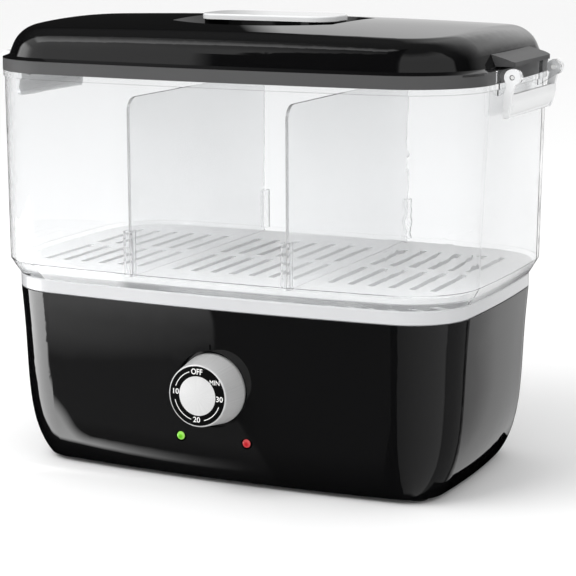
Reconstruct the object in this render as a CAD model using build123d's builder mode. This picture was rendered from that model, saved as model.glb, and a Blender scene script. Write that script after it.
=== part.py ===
from build123d import *

import os

os.makedirs("parts", exist_ok=True)

# A steam warmer for rolled towels: a clear lidded bin with two dividers stands on a base that
# holds the water, the heater and a clockwork timer. Millimetres: X runs along the length, the
# front faces -Y, and Z is measured up from the surface that the feet stand on. The pieces are
# drawn about the middle of the base, and written about the middle of the overall box.

# Plan sizes: the base, and how much longer, deeper and rounder than it each level above it is
base_length, base_depth, base_corner = 310.8, 192.0, 40.0
flare_growth = (11.4, 13.6, 6.0)
bin_growth = (17.2, 16.2, 12.0)
rim_growth = (18.4, 17.4)
lid_growth = (19.2, 18.2, 13.0)
side_bow, end_bow = 7.9, 4.4

# Heights, stacked up from the floor
foot_height = 3.0
housing_height = 111.3
ring_height = 8.8
flare_height = 10.2
bin_height = 131.1
band_height = 7.9
ledge_height, ledge_width = 1.6, 4.0
crown_rise = 22.8

# Walls, clearances, the height of every screw head, and a length that cuts through any wall
housing_wall = 2.6
bin_wall = 2.4
lid_wall = 2.4
fit_gap = 0.3
pin_gap = 0.04
head_height = 1.6
cut_reach = 30.0

# Base housing: how far its wall leans in towards the floor
housing_lean = 8.0
foot_round, foot_round_height = 8.3, 30.0
housing_steps = (0, 0.08, 0.27, 0.6, 1)
lip_width, lip_height = 3.0, 2.0

# Bottom plate, feet and the screws that close the base
plate_recess, plate_thick = 0.4, 2.6
foot_inset, foot_radius = (32.9, 39.5), 6.5
stem_radius, stem_end = 2.5, 1.8
post_inset, post_radius = (51.4, 48.0), 5.0
post_screw_radius, post_screw_head, post_screw_length = 1.6, 3.2, 16.0
screw_hole_spare = 1.0
vent_length, vent_width, vent_pitch, vent_count = 30.0, 3.0, 8.0, 5

# Reservoir with the visible ring
groove_inset, groove_depth = 2.4, 4.0
basin_inset, basin_floor_inset, basin_wall = 9.0, 16.0, 2.4
skirt_depth = 6.0
ring_edge = 0.8

# Heater
heater_opening, heater_gap, flange_width = 42.0, 1.0, 6.0
flange_thick, gasket_thick, clamp_thick = 2.4, 1.0, 1.5
plate_stand = 1.5
element_ring, element_width, element_height, element_sweep = 27.0, 8.0, 5.0, 280.0
terminal_radius, terminal_length = 2.2, 9.0
clamp_overlap, clamp_boss_radius, clamp_screw_count = 5.0, 3.4, 4
clamp_screw_radius, clamp_screw_head = 1.4, 2.6
cutout_radius, cutout_height, cutout_flange, cutout_flange_thick = 8.0, 9.0, 10.0, 1.2
tab_pitch, tab_thick, tab_width, tab_length = 8.0, 0.8, 6.3, 8.0

# Timer knob and its well in the front wall
knob_height, knob_back_radius, knob_face_radius, knob_depth = 64.0, 22.5, 19.4, 21.0
knob_gap = 1.0
well_gap, well_setback, well_pad, well_wall = 1.8, 6.0, 3.4, 2.7
dial_margin, dial_inner, dial_recess = 0.8, 12.3, 0.8
cap_dome, cap_shoulder, knob_edge = 1.1, 0.75, 0.6
knob_wall, hub_radius = 2.2, 6.5
shaft_radius, shaft_flat, shaft_hole_radius = 3.0, 1.0, 5.5
shaft_end, flat_end = 4.0, 3.0
timer_width, timer_depth, timer_round = 45.0, 26.0, 4.0
timer_back_radius, timer_back_depth = 18.5, 4.0
timer_screw_x, timer_screw_radius, timer_screw_head, timer_screw_grip = 14.0, 1.9, 3.6, 8.0

# Lamps
lamp_x, lamp_height, lamp_radius, lamp_stand, lamp_round = 22.7, 31.5, 2.7, 1.2, 1.0
lamp_grip, lamp_flange, lamp_flange_thick = 3.6, 1.0, 1.2
lamp_tail, lamp_pad, led_radius = 5.0, 2.2, 2.4
board_setback, board_width, board_height, board_thick = 14.2, 62.0, 15.0, 1.6
pillar_x, pillar_radius = 10.0, 3.2
board_screw_radius, board_screw_head, board_screw_grip = 1.2, 2.3, 6.0

# Power inlet at the back: measured from the base's right end and from its back
gland_from_end, gland_height, gland_bore, gland_radius = 55.4, 30.0, 3.3, 6.0
gland_flange, gland_flange_thick, gland_length, gland_stand = 8.5, 2.0, 22.0, 4.0
gland_setback, gland_pad = 11.5, 3.0
block_from_end, block_setback, block_size = 93.4, 56.0, (42.0, 17.0, 14.0)
block_hole_radius, block_hole_depth, block_hole_pitch, block_poles = 2.2, 5.0, 14.0, 3

# Bin: foot skirt, floor, rim, collar and guide rails
skirt_gap, skirt_wall = 0.3, 2.2
floor_thick, floor_level = 3.0, 8.1
slot_width, slot_pitch, slot_side_margin, slot_end_margin, slot_middle = 4.5, 13.3, 39.8, 25.8, 5.0
rim_height = 3.7
collar_height, collar_wall, collar_gap = 6.0, 2.0, 0.4
divider_x, divider_thick, divider_round, divider_drop = 53.2, 2.0, 9.0, 12.2
divider_front_gap = 7.0
rail_width, rail_depth, rail_height, rail_root = 1.6, 6.4, 26.7, 2.4

# End handles and their lugs: each pivot stands out past the lid's end, above the bin's rim
pivot_out, pivot_rise, pin_radius, pin_recess = 8.3, 4.2, 1.5, 0.6
pin_press = 0.02
lug_gap, lug_thick, lug_radius, lug_drop, lug_root = 0.6, 3.2, 4.6, 3.5, 1.4
lug_foot, lug_shoulder, lug_back, lug_chin = 1.0, 1.6, (2.0, 4.1), (3.6, 3.0)
ear_thick, ear_radius = 3.4, 4.9
grip_drop, grip_straight, grip_height, grip_wall = 10.4, 4.0, 14.6, 2.4
cheek_width, lip_reach, lip_radius, handle_corner = 4.8, 3.6, 1.7, 5.0

# Lid: crowned top, recess with two pedestals, white grip bar, end tongues and vents
crown_radius_side, crown_radius_end = 1000.0, 4200.0
side_lean, shoulder_round = 0.40, 20.0
recess_length, recess_depth, recess_corner = 115.0, 114.0, 4.0
recess_bow, recess_end_bow = 20.0, 1.0
recess_sink, recess_slope = 12.5, 9.0
pedestal_x, pedestal_size, pedestal_round = 36.5, (17.0, 26.0), 4.0
bar_margin, bar_depth, bar_corner, bar_edge = 1.0, 42.0, 14.0, 1.2
bar_thick, bar_sink = 3.5, 0.8
peg_radius, peg_length, bar_screw_radius, bar_screw_head = 4.0, 7.0, 1.6, 3.2
crown_margin, crown_skirt, dome_spare, recess_spare = 40.0, 30.0, 5.0, 2.0
tongue_half, tongue_out, tongue_wall, tongue_round, tongue_nose = 36.0, 7.0, 2.2, 3.0, 5.0
tongue_root, tongue_gap, tongue_seat, tongue_rise = 20.0, 0.2, 0.1, (8.8, 4.7, 2.8)
notch_gap, notch_out = 1.9, 2.0
vent_from_end, vent_from_side, vent_turn, vent_size = 4.2, 34.6, 64.0, (18.0, 6.0, 1.5)

# Plan sizes worked out from the base's
flare_length, flare_depth, flare_corner = (
    size + more for size, more in zip((base_length, base_depth, base_corner), flare_growth))
bin_length, bin_depth, bin_corner = (
    size + more for size, more in zip((base_length, base_depth, base_corner), bin_growth))
rim_length, rim_depth = base_length + rim_growth[0], base_depth + rim_growth[1]
lid_length, lid_depth, lid_corner = (
    size + more for size, more in zip((base_length, base_depth, base_corner), lid_growth))

# Levels worked out from the heights. The basin's floor clears the timer, with the heater between.
base_top = foot_height + housing_height
ring_top = base_top + ring_height
flare_top = ring_top + flare_height
bin_top = ring_top + bin_height
band_top = bin_top + band_height
ledge_top = band_top + ledge_height
crown_top = ledge_top + crown_rise
plate_bottom = foot_height + plate_recess
plate_top = plate_bottom + plate_thick
heater_stack = gasket_thick + flange_thick + clamp_thick + head_height
basin_under = knob_height + timer_width / 2 + heater_gap + heater_stack
basin_floor = basin_under + basin_wall
floor_under = ring_top + floor_level - floor_thick
recess_floor = crown_top - recess_sink
bar_level = crown_top - bar_sink
pivot_height = bin_top + pivot_rise

# Places worked out from the plan sizes
ends = (-1, 1)
foot_x, foot_y = base_length / 2 - foot_inset[0], base_depth / 2 - foot_inset[1]
post_x, post_y = base_length / 2 - post_inset[0], base_depth / 2 - post_inset[1]
well_radius = knob_back_radius + well_gap
well_floor_y = well_setback - base_depth / 2
knob_back_y = well_floor_y - knob_gap
knob_face_y = knob_back_y - knob_depth
gland_x = base_length / 2 - gland_from_end
gland_floor_y = base_depth / 2 - gland_setback
pivot_x = lid_length / 2 + pivot_out
lug_inner = tongue_half + lug_gap
ear_inner = lug_inner + lug_thick + fit_gap
ear_outer = ear_inner + ear_thick
notch_outer = ear_outer + notch_gap
lug_root_x = lid_length / 2 - lid_wall - collar_gap - collar_wall / 2
notch_inner_x = lug_root_x - fit_gap
notch_outer_x = lid_length / 2 + notch_out

# The overall box runs from the knob's cap to the back of the lid
frame_shift = -(knob_face_y - cap_dome + lid_depth / 2) / 2


def bowed_outline(z, length, depth, corner, side=side_bow, end=end_bow):
    """A level rectangle whose four sides bow outwards, with round corners."""
    x, y = length / 2 - end, depth / 2 - side
    with BuildSketch(Plane.XY.offset(z)) as outline:
        with BuildLine():
            ThreePointArc((-x, -y), (0, -depth / 2), (x, -y))
            ThreePointArc((x, -y), (length / 2, 0), (x, y))
            ThreePointArc((x, y), (0, depth / 2), (-x, y))
            ThreePointArc((-x, y), (-length / 2, 0), (-x, -y))
        make_face()
        fillet(outline.vertices(), corner)
    return outline.sketch


def base_outline(z, inset):
    """The plan of the base, drawn in by an inset all round."""
    return bowed_outline(z, base_length - 2 * inset, base_depth - 2 * inset, base_corner - inset)


def lid_outline(z, inset):
    """The plan of the lid's band, drawn in by an inset all round."""
    return bowed_outline(z, lid_length - 2 * inset, lid_depth - 2 * inset, lid_corner - inset)


def bin_outline(z, inset):
    """The plan of the bin's leaning wall at a height between the flare and the top."""
    share = (z - flare_top) / (bin_top - flare_top)
    length = flare_length + share * (bin_length - flare_length)
    depth = flare_depth + share * (bin_depth - flare_depth)
    corner = flare_corner + share * (bin_corner - flare_corner)
    return bowed_outline(z, length - 2 * inset, depth - 2 * inset, corner - inset)


def flare_outline(z, inset):
    """The plan of the flare between the white ring and the bin's wall."""
    share = (z - ring_top) / flare_height
    length = base_length + share * (flare_length - base_length)
    depth = base_depth + share * (flare_depth - base_depth)
    corner = base_corner + share * (flare_corner - base_corner)
    return bowed_outline(z, length - 2 * inset, depth - 2 * inset, corner - inset)


def housing_inset(z):
    """How far the housing's wall stands in from its top edge: a lean, then a round foot."""
    down = (base_top - z) / housing_height
    foot = max(0.0, 1 - (z - foot_height) / foot_round_height)
    return housing_lean * down**1.2 + foot_round * foot**2


def front_wall_y(x, z):
    """Where the outside of the bowed, leaning front wall is."""
    across = x / (base_length / 2 - end_bow)
    return housing_inset(z) + side_bow * across**2 - base_depth / 2


def save(piece, name):
    """Move a finished piece to the written frame, label it and write it to its own file."""
    placed = piece.part.moved(Location((0, frame_shift, 0)))
    placed.label = name
    export_step(placed, f"parts/{name}.step")


def along_y(x, z, y):
    """A place at depth y whose local Z looks along +Y."""
    return Plane(origin=(x, y, z), x_dir=(1, 0, 0), z_dir=(0, 1, 0))


# Base housing: a black moulded shell, open above and below, with an inner lip over the plate
level_heights = [foot_height + step * housing_height for step in housing_steps]
lamp_wall_y = front_wall_y(lamp_x, lamp_height)
lamp_inner_y = lamp_wall_y + lamp_grip
board_y = lamp_wall_y + board_setback
lip_bottom = plate_top
lip_top = lip_bottom + lip_height
lip_inset = housing_inset(lip_bottom) + housing_wall + lip_width

with BuildPart() as housing_void:
    loft([base_outline(z, housing_inset(z) + housing_wall) for z in level_heights])
    extrude(base_outline(foot_height, 0), lip_top - foot_height, mode=Mode.SUBTRACT)
    # The walls stay thick behind the knob, round the lamps and round the inlet
    inward = (Align.CENTER, Align.CENTER, Align.MAX)
    outward = (Align.CENTER, Align.CENTER, Align.MIN)
    with Locations(along_y(0, knob_height, well_floor_y + well_pad)):
        Cylinder(well_radius + well_wall, cut_reach, align=inward, mode=Mode.SUBTRACT)
    for x in (-pillar_x, pillar_x):
        with Locations(along_y(x, lamp_height, board_y - board_thick)):
            Cylinder(pillar_radius, cut_reach, align=inward, mode=Mode.SUBTRACT)
    for x in (-lamp_x, lamp_x):
        with Locations(along_y(x, lamp_height, lamp_inner_y)):
            Cylinder(lamp_radius + lamp_pad, cut_reach, align=inward, mode=Mode.SUBTRACT)
    with Locations(along_y(gland_x, gland_height, gland_floor_y - well_pad)):
        Cylinder(gland_flange + gland_pad, cut_reach, align=outward, mode=Mode.SUBTRACT)

with BuildPart() as base_housing:
    loft([base_outline(z, housing_inset(z)) for z in level_heights])
    add(housing_void.part, mode=Mode.SUBTRACT)
    bottom_inset = housing_inset(foot_height) + housing_wall
    extrude(base_outline(foot_height, bottom_inset), lip_bottom - foot_height, mode=Mode.SUBTRACT)
    extrude(base_outline(lip_bottom, lip_inset), lip_height, mode=Mode.SUBTRACT)
    # The knob's round well, the shaft's hole and the timer's two screw holes
    with Locations(along_y(0, knob_height, well_floor_y)):
        Cylinder(well_radius, cut_reach, align=inward, mode=Mode.SUBTRACT)
        Cylinder(shaft_hole_radius, cut_reach, mode=Mode.SUBTRACT)
        with Locations((-timer_screw_x, 0), (timer_screw_x, 0)):
            Cylinder(timer_screw_radius + pin_gap, cut_reach, mode=Mode.SUBTRACT)
    for x in (-lamp_x, lamp_x):
        with Locations(along_y(x, lamp_height, lamp_wall_y)):
            Cylinder(lamp_radius + fit_gap / 2, cut_reach, mode=Mode.SUBTRACT)
    for x in (-pillar_x, pillar_x):
        with Locations(along_y(x, lamp_height, board_y - board_thick)):
            Cylinder(board_screw_radius, 2 * board_screw_grip, mode=Mode.SUBTRACT)
    with Locations(along_y(gland_x, gland_height, gland_floor_y)):
        Cylinder(gland_flange + fit_gap, cut_reach, align=outward, mode=Mode.SUBTRACT)
        Cylinder(gland_radius + fit_gap / 2, cut_reach, mode=Mode.SUBTRACT)
save(base_housing, "base_housing")

# Bottom plate: closes the housing from below, with cooling slots and holes for feet and screws
with BuildPart() as bottom_plate:
    plate_inset = housing_inset(foot_height) + housing_wall + fit_gap
    extrude(base_outline(plate_bottom, plate_inset), plate_thick)
    with GridLocations(2 * foot_x, 2 * foot_y, 2, 2):
        Cylinder(stem_radius + fit_gap / 2, cut_reach, mode=Mode.SUBTRACT)
    with GridLocations(2 * post_x, 2 * post_y, 2, 2):
        Cylinder(post_screw_radius + fit_gap, cut_reach, mode=Mode.SUBTRACT)
    with BuildSketch(Plane.XY.offset(plate_bottom)):
        with GridLocations(vent_pitch, 0, vent_count, 1):
            Rectangle(vent_width, vent_length)
    extrude(amount=plate_thick, mode=Mode.SUBTRACT)
save(bottom_plate, "bottom_plate")

# Rubber feet: a round pad with a stem that is pushed up through the plate
with BuildPart() as rubber_feet:
    with BuildSketch(Plane.XY):
        with GridLocations(2 * foot_x, 2 * foot_y, 2, 2):
            Circle(foot_radius)
    extrude(amount=plate_bottom)
    with BuildSketch(Plane.XY):
        with GridLocations(2 * foot_x, 2 * foot_y, 2, 2):
            Circle(stem_radius)
    extrude(amount=plate_top + stem_end)
save(rubber_feet, "rubber_feet")

# Water reservoir: one white moulding whose rim is the ring seen between base and bin
with BuildPart() as water_reservoir:
    extrude(base_outline(base_top, 0), ring_height)
    ring_edges = water_reservoir.edges().group_by(Axis.Z)
    chamfer(ring_edges[0] + ring_edges[-1], ring_edge)
    extrude(base_outline(base_top, housing_wall + 2 * fit_gap), -skirt_depth)
    skirt_inner = housing_wall + 2 * fit_gap + skirt_wall
    extrude(base_outline(base_top - skirt_depth, skirt_inner), skirt_depth, mode=Mode.SUBTRACT)
    loft([base_outline(basin_under, basin_floor_inset - basin_wall),
          base_outline(base_top, basin_inset - basin_wall)], ruled=True)
    extrude(base_outline(ring_top - groove_depth, groove_inset), groove_depth, mode=Mode.SUBTRACT)
    loft([base_outline(basin_floor, basin_floor_inset),
          base_outline(ring_top - groove_depth, basin_inset)], ruled=True, mode=Mode.SUBTRACT)
    # Four posts carry the bottom plate, four short bosses take the heater's clamp ring
    with BuildSketch(Plane.XY.offset(plate_top)):
        with GridLocations(2 * post_x, 2 * post_y, 2, 2):
            Circle(post_radius)
    extrude(amount=basin_under - plate_top + basin_wall / 2)
    flange_radius = heater_opening + flange_width
    clamp_screw_ring = flange_radius + clamp_boss_radius + fit_gap
    clamp_screw_turn = 180 / clamp_screw_count
    clamp_face = basin_under - gasket_thick - flange_thick
    with BuildSketch(Plane.XY.offset(clamp_face)):
        with PolarLocations(clamp_screw_ring, clamp_screw_count, clamp_screw_turn):
            Circle(clamp_boss_radius)
    extrude(amount=basin_under - clamp_face + basin_wall / 2)
    with BuildSketch(Plane.XY.offset(plate_top)):
        with GridLocations(2 * post_x, 2 * post_y, 2, 2):
            Circle(post_screw_radius)
    extrude(amount=post_screw_length, mode=Mode.SUBTRACT)
    with BuildSketch(Plane.XY.offset(clamp_face)):
        with PolarLocations(clamp_screw_ring, clamp_screw_count, clamp_screw_turn):
            Circle(clamp_screw_radius)
    extrude(amount=basin_under - clamp_face, mode=Mode.SUBTRACT)
    with Locations((0, 0, basin_floor)):
        Cylinder(heater_opening, cut_reach, mode=Mode.SUBTRACT)
save(water_reservoir, "water_reservoir")

# Heater: a cast plate that stands through the basin's floor, sealed by a gasket under its edge
# and held up by a clamp ring
flange_top = basin_under - gasket_thick
with BuildPart() as heater_plate:
    with BuildSketch(Plane.XY.offset(clamp_face)):
        Circle(flange_radius)
    extrude(amount=flange_thick)
    with BuildSketch(Plane.XY.offset(clamp_face)):
        Circle(heater_opening - heater_gap)
    extrude(amount=basin_floor + plate_stand - clamp_face)
save(heater_plate, "heater_plate")

with BuildPart() as heater_gasket:
    with BuildSketch(Plane.XY.offset(flange_top)):
        Circle(flange_radius)
        Circle(heater_opening, mode=Mode.SUBTRACT)
    extrude(amount=gasket_thick)
save(heater_gasket, "heater_gasket")

clamp_bottom = clamp_face - clamp_thick
with BuildPart() as heater_clamp:
    with BuildSketch(Plane.XY.offset(clamp_bottom)):
        Circle(clamp_screw_ring + clamp_boss_radius)
        Circle(heater_opening - clamp_overlap, mode=Mode.SUBTRACT)
        with PolarLocations(clamp_screw_ring, clamp_screw_count, clamp_screw_turn):
            Circle(clamp_screw_radius + fit_gap, mode=Mode.SUBTRACT)
    extrude(amount=clamp_thick)
save(heater_clamp, "heater_clamp")

# Element: a tube pressed flat against the plate's underside, open at the back between two pins
with BuildPart() as heating_element:
    with BuildSketch(Plane.XY.offset(clamp_face)):
        with BuildLine() as element_path:
            CenterArc((0, 0), element_ring, 270 - element_sweep / 2, element_sweep)
        trace(line_width=element_width)
    extrude(amount=-element_height)
    with BuildSketch(Plane.XY.offset(clamp_face - element_height)):
        with Locations(element_path.line @ 0, element_path.line @ 1):
            Circle(terminal_radius)
    extrude(amount=-terminal_length)
save(heating_element, "heating_element")

with BuildPart() as thermal_cutout:
    with BuildSketch(Plane.XY.offset(clamp_face)):
        Circle(cutout_radius)
    extrude(amount=-cutout_height)
    with BuildSketch(Plane.XY.offset(clamp_face)):
        Circle(cutout_flange)
    extrude(amount=-cutout_flange_thick)
    with BuildSketch(Plane.XY.offset(clamp_face - cutout_height)):
        with GridLocations(tab_pitch, 0, 2, 1):
            Rectangle(tab_thick, tab_width)
    extrude(amount=-tab_length)
save(thermal_cutout, "thermal_cutout")

# Screws: short shanks with low round heads, one group for each kind
with BuildPart() as heater_screws:
    with BuildSketch(Plane.XY.offset(clamp_bottom)):
        with PolarLocations(clamp_screw_ring, clamp_screw_count, clamp_screw_turn):
            Circle(clamp_screw_head)
    extrude(amount=-head_height)
    with BuildSketch(Plane.XY.offset(clamp_bottom)):
        with PolarLocations(clamp_screw_ring, clamp_screw_count, clamp_screw_turn):
            Circle(clamp_screw_radius - pin_gap)
    extrude(amount=clamp_thick + basin_under - clamp_face - fit_gap)
save(heater_screws, "heater_screws")

with BuildPart() as base_screws:
    with BuildSketch(Plane.XY.offset(plate_bottom)):
        with GridLocations(2 * post_x, 2 * post_y, 2, 2):
            Circle(post_screw_head)
    extrude(amount=-head_height)
    with BuildSketch(Plane.XY.offset(plate_bottom)):
        with GridLocations(2 * post_x, 2 * post_y, 2, 2):
            Circle(post_screw_radius - pin_gap)
    extrude(amount=plate_thick + post_screw_length - screw_hole_spare)
save(base_screws, "base_screws")

# Timer: the clockwork case behind the front wall, its two screws and its turning shaft
timer_front_y = well_floor_y + well_pad
with BuildPart() as timer_body:
    with BuildSketch(along_y(0, knob_height, timer_front_y)):
        RectangleRounded(timer_width, timer_width, timer_round)
    extrude(amount=timer_depth)
    with BuildSketch(along_y(0, knob_height, timer_front_y + timer_depth)):
        Circle(timer_back_radius)
    extrude(amount=timer_back_depth)
    with Locations(along_y(0, knob_height, timer_front_y)):
        Cylinder(shaft_radius + pin_gap, 2 * timer_depth, mode=Mode.SUBTRACT)
        with Locations((-timer_screw_x, 0), (timer_screw_x, 0)):
            Cylinder(timer_screw_radius, 2 * (timer_screw_grip + screw_hole_spare),
                     mode=Mode.SUBTRACT)
save(timer_body, "timer_body")

with BuildPart() as timer_screws:
    with BuildSketch(along_y(0, knob_height, well_floor_y)):
        with Locations((-timer_screw_x, 0), (timer_screw_x, 0)):
            Circle(timer_screw_radius - pin_gap)
    extrude(amount=well_pad + timer_screw_grip)
    with BuildSketch(along_y(0, knob_height, well_floor_y)):
        with Locations((-timer_screw_x, 0), (timer_screw_x, 0)):
            Circle(timer_screw_head)
    extrude(amount=-head_height)
save(timer_screws, "timer_screws")

hub_front_y = knob_face_y + knob_wall + dial_recess
with BuildPart() as timer_shaft:
    with BuildSketch(along_y(0, knob_height, hub_front_y)):
        Circle(shaft_radius)
    extrude(amount=timer_front_y + timer_depth - shaft_end - hub_front_y)
    with BuildSketch(along_y(0, knob_height, hub_front_y)):
        with Locations((0, shaft_radius)):
            Rectangle(2 * shaft_radius, 2 * shaft_flat)
    extrude(amount=timer_front_y - hub_front_y - flat_end, mode=Mode.SUBTRACT)
save(timer_shaft, "timer_shaft")

# Knob: a tapered cup with a keyed hub, a printed dial ring and a centre cap pressed into its face
dial_outer = knob_face_radius - dial_margin
with BuildPart() as timer_knob:
    with BuildSketch(Plane.YZ):
        with BuildLine():
            Polyline((knob_back_y, 0), (knob_back_y, knob_back_radius),
                     (knob_face_y + knob_edge, knob_face_radius),
                     (knob_face_y, knob_face_radius - knob_edge),
                     (knob_face_y, dial_outer), (knob_face_y + dial_recess, dial_outer),
                     (knob_face_y + dial_recess, 0), close=True)
        make_face()
    revolve(axis=Axis.Y)
    with BuildSketch(Plane.YZ):
        with BuildLine():
            Polyline((knob_back_y + knob_gap, hub_radius),
                     (knob_back_y + knob_gap, knob_back_radius - knob_wall),
                     (hub_front_y, knob_face_radius - knob_wall),
                     (hub_front_y, hub_radius), close=True)
        make_face()
    revolve(axis=Axis.Y, mode=Mode.SUBTRACT)
    with BuildSketch(along_y(0, 0, hub_front_y)):
        Circle(shaft_radius + pin_gap)
        with Locations((0, shaft_radius)):
            Rectangle(2 * shaft_radius, 2 * (shaft_flat - pin_gap), mode=Mode.SUBTRACT)
    extrude(amount=knob_depth, mode=Mode.SUBTRACT)
timer_knob.part = timer_knob.part.moved(Location((0, 0, knob_height)))
save(timer_knob, "timer_knob")

with BuildPart() as dial_ring:
    with BuildSketch(along_y(0, knob_height, knob_face_y + dial_recess)):
        Circle(dial_outer - pin_gap)
        Circle(dial_inner, mode=Mode.SUBTRACT)
    extrude(amount=pin_gap - dial_recess)
save(dial_ring, "dial_ring")

with BuildPart() as knob_cap:
    with BuildSketch(Plane.YZ):
        with BuildLine():
            Polyline((knob_face_y, dial_inner - pin_gap), (knob_face_y + dial_recess, dial_inner - pin_gap),
                     (knob_face_y + dial_recess, 0), (knob_face_y - cap_dome, 0))
            ThreePointArc((knob_face_y - cap_dome, 0),
                          (knob_face_y - cap_shoulder * cap_dome, dial_inner / 2),
                          (knob_face_y, dial_inner - pin_gap))
        make_face()
    revolve(axis=Axis.Y)
knob_cap.part = knob_cap.part.moved(Location((0, 0, knob_height)))
save(knob_cap, "knob_cap")

# Lamps: two round lenses pushed into the front wall and the board that lights them
for name, x in (("green_lamp_lens", -lamp_x), ("red_lamp_lens", lamp_x)):
    with BuildPart() as lens:
        with BuildSketch(along_y(x, lamp_height, lamp_wall_y - lamp_stand)):
            Circle(lamp_radius)
        extrude(amount=lamp_stand + lamp_grip + lamp_tail)
        chamfer(lens.edges().sort_by(Axis.Y)[0], lamp_round)
        with BuildSketch(along_y(x, lamp_height, lamp_inner_y)):
            Circle(lamp_radius + lamp_flange)
        extrude(amount=lamp_flange_thick)
    save(lens, name)

with BuildPart() as lamp_board:
    with BuildSketch(along_y(0, lamp_height, board_y - board_thick)):
        Rectangle(board_width, board_height)
        with Locations((-pillar_x, 0), (pillar_x, 0)):
            Circle(board_screw_radius + fit_gap, mode=Mode.SUBTRACT)
    extrude(amount=board_thick)
    with BuildSketch(along_y(0, lamp_height, board_y - board_thick)):
        with Locations((-lamp_x, 0), (lamp_x, 0)):
            Circle(led_radius)
    extrude(amount=lamp_inner_y + lamp_tail + fit_gap - (board_y - board_thick))
save(lamp_board, "lamp_board")

with BuildPart() as board_screws:
    with BuildSketch(along_y(0, lamp_height, board_y)):
        with Locations((-pillar_x, 0), (pillar_x, 0)):
            Circle(board_screw_radius - pin_gap)
    extrude(amount=screw_hole_spare - board_thick - board_screw_grip)
    with BuildSketch(along_y(0, lamp_height, board_y)):
        with Locations((-pillar_x, 0), (pillar_x, 0)):
            Circle(board_screw_head)
    extrude(amount=head_height)
save(board_screws, "board_screws")

# Power inlet: a bush clamped in the rear wall, and the block where its wires end
with BuildPart() as cord_gland:
    with BuildSketch(along_y(gland_x, gland_height, gland_floor_y)):
        Circle(gland_flange)
    extrude(amount=gland_flange_thick)
    with BuildSketch(along_y(gland_x, gland_height, gland_floor_y - gland_length + gland_stand)):
        Circle(gland_radius)
    extrude(amount=gland_length)
    with Locations(along_y(gland_x, gland_height, gland_floor_y)):
        Cylinder(gland_bore, 4 * gland_length, mode=Mode.SUBTRACT)
save(cord_gland, "cord_gland")

block_x, block_y = base_length / 2 - block_from_end, base_depth / 2 - block_setback
with BuildPart() as terminal_block:
    with Locations((block_x, block_y, plate_top)):
        Box(*block_size, align=(Align.CENTER, Align.CENTER, Align.MIN))
    with BuildSketch(Plane.XY.offset(plate_top + block_size[2])):
        with Locations((block_x, block_y)):
            with GridLocations(block_hole_pitch, 0, block_poles, 1):
                Circle(block_hole_radius)
    extrude(amount=-block_hole_depth, mode=Mode.SUBTRACT)
save(terminal_block, "terminal_block")

# Steam bin: one clear moulding with a foot skirt, a floor ledge, leaning walls, rim and collar
skirt_inset = groove_inset + skirt_gap
skirt_bottom = ring_top - groove_depth
rim_bottom = bin_top - rim_height
collar_inset = lid_wall + collar_gap
with BuildPart() as steam_bin:
    extrude(base_outline(skirt_bottom, skirt_inset), ring_top + fit_gap - skirt_bottom)
    loft([flare_outline(ring_top + fit_gap, 0), flare_outline(flare_top, 0)], ruled=True)
    loft([bin_outline(flare_top, 0), bin_outline(bin_top, 0)], ruled=True)
    extrude(bowed_outline(rim_bottom, rim_length, rim_depth, bin_corner), rim_height)
    extrude(lid_outline(bin_top, collar_inset), collar_height)
    extrude(base_outline(skirt_bottom, skirt_inset + skirt_wall), floor_under - skirt_bottom,
            mode=Mode.SUBTRACT)
    loft([flare_outline(floor_under, bin_wall), flare_outline(flare_top, bin_wall)], ruled=True,
         mode=Mode.SUBTRACT)
    loft([bin_outline(flare_top, bin_wall), bin_outline(rim_bottom, bin_wall)], ruled=True,
         mode=Mode.SUBTRACT)
    extrude(lid_outline(rim_bottom, collar_inset + collar_wall), rim_height + collar_height,
            mode=Mode.SUBTRACT)
    # Guide rails on the front and back walls, one pair for each divider
    rail_outer = flare_depth / 2 - rail_root
    for x in (-divider_x, divider_x):
        for side in ends:
            with Locations((x, 0, flare_top)):
                with GridLocations(divider_thick + 2 * fit_gap + rail_width, 0, 2, 1):
                    with Locations((0, side * (rail_outer - rail_depth / 2))):
                        Box(rail_width, rail_depth, rail_height,
                            align=(Align.CENTER, Align.CENTER, Align.MIN))
    # Lugs for the end handles
    for end in ends:
        for side in ends:
            lug_y = side * lug_inner if side > 0 else -lug_inner - lug_thick
            with BuildSketch(Plane(origin=(0, lug_y, 0), x_dir=(1, 0, 0), z_dir=(0, -1, 0))):
                with Locations((end * pivot_x, pivot_height)):
                    Circle(lug_radius)
                with BuildLine():
                    wall_x = end * lug_root_x
                    Polyline((wall_x, bin_top + lug_foot), (wall_x, pivot_height + lug_shoulder),
                             (end * (pivot_x - lug_back[0]), pivot_height + lug_back[1]),
                             (end * (pivot_x + lug_chin[0]), pivot_height - lug_chin[1]),
                             (end * (rim_length / 2 - lug_root / 2), rim_bottom - lug_drop),
                             (end * (bin_length / 2 - lug_root), rim_bottom - lug_drop),
                             (end * (bin_length / 2 - lug_root), bin_top + lug_foot), close=True)
                make_face()
                with Locations((end * pivot_x, pivot_height)):
                    Circle(pin_radius + pin_press, mode=Mode.SUBTRACT)
            extrude(amount=-lug_thick)
save(steam_bin, "steam_bin")

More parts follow.
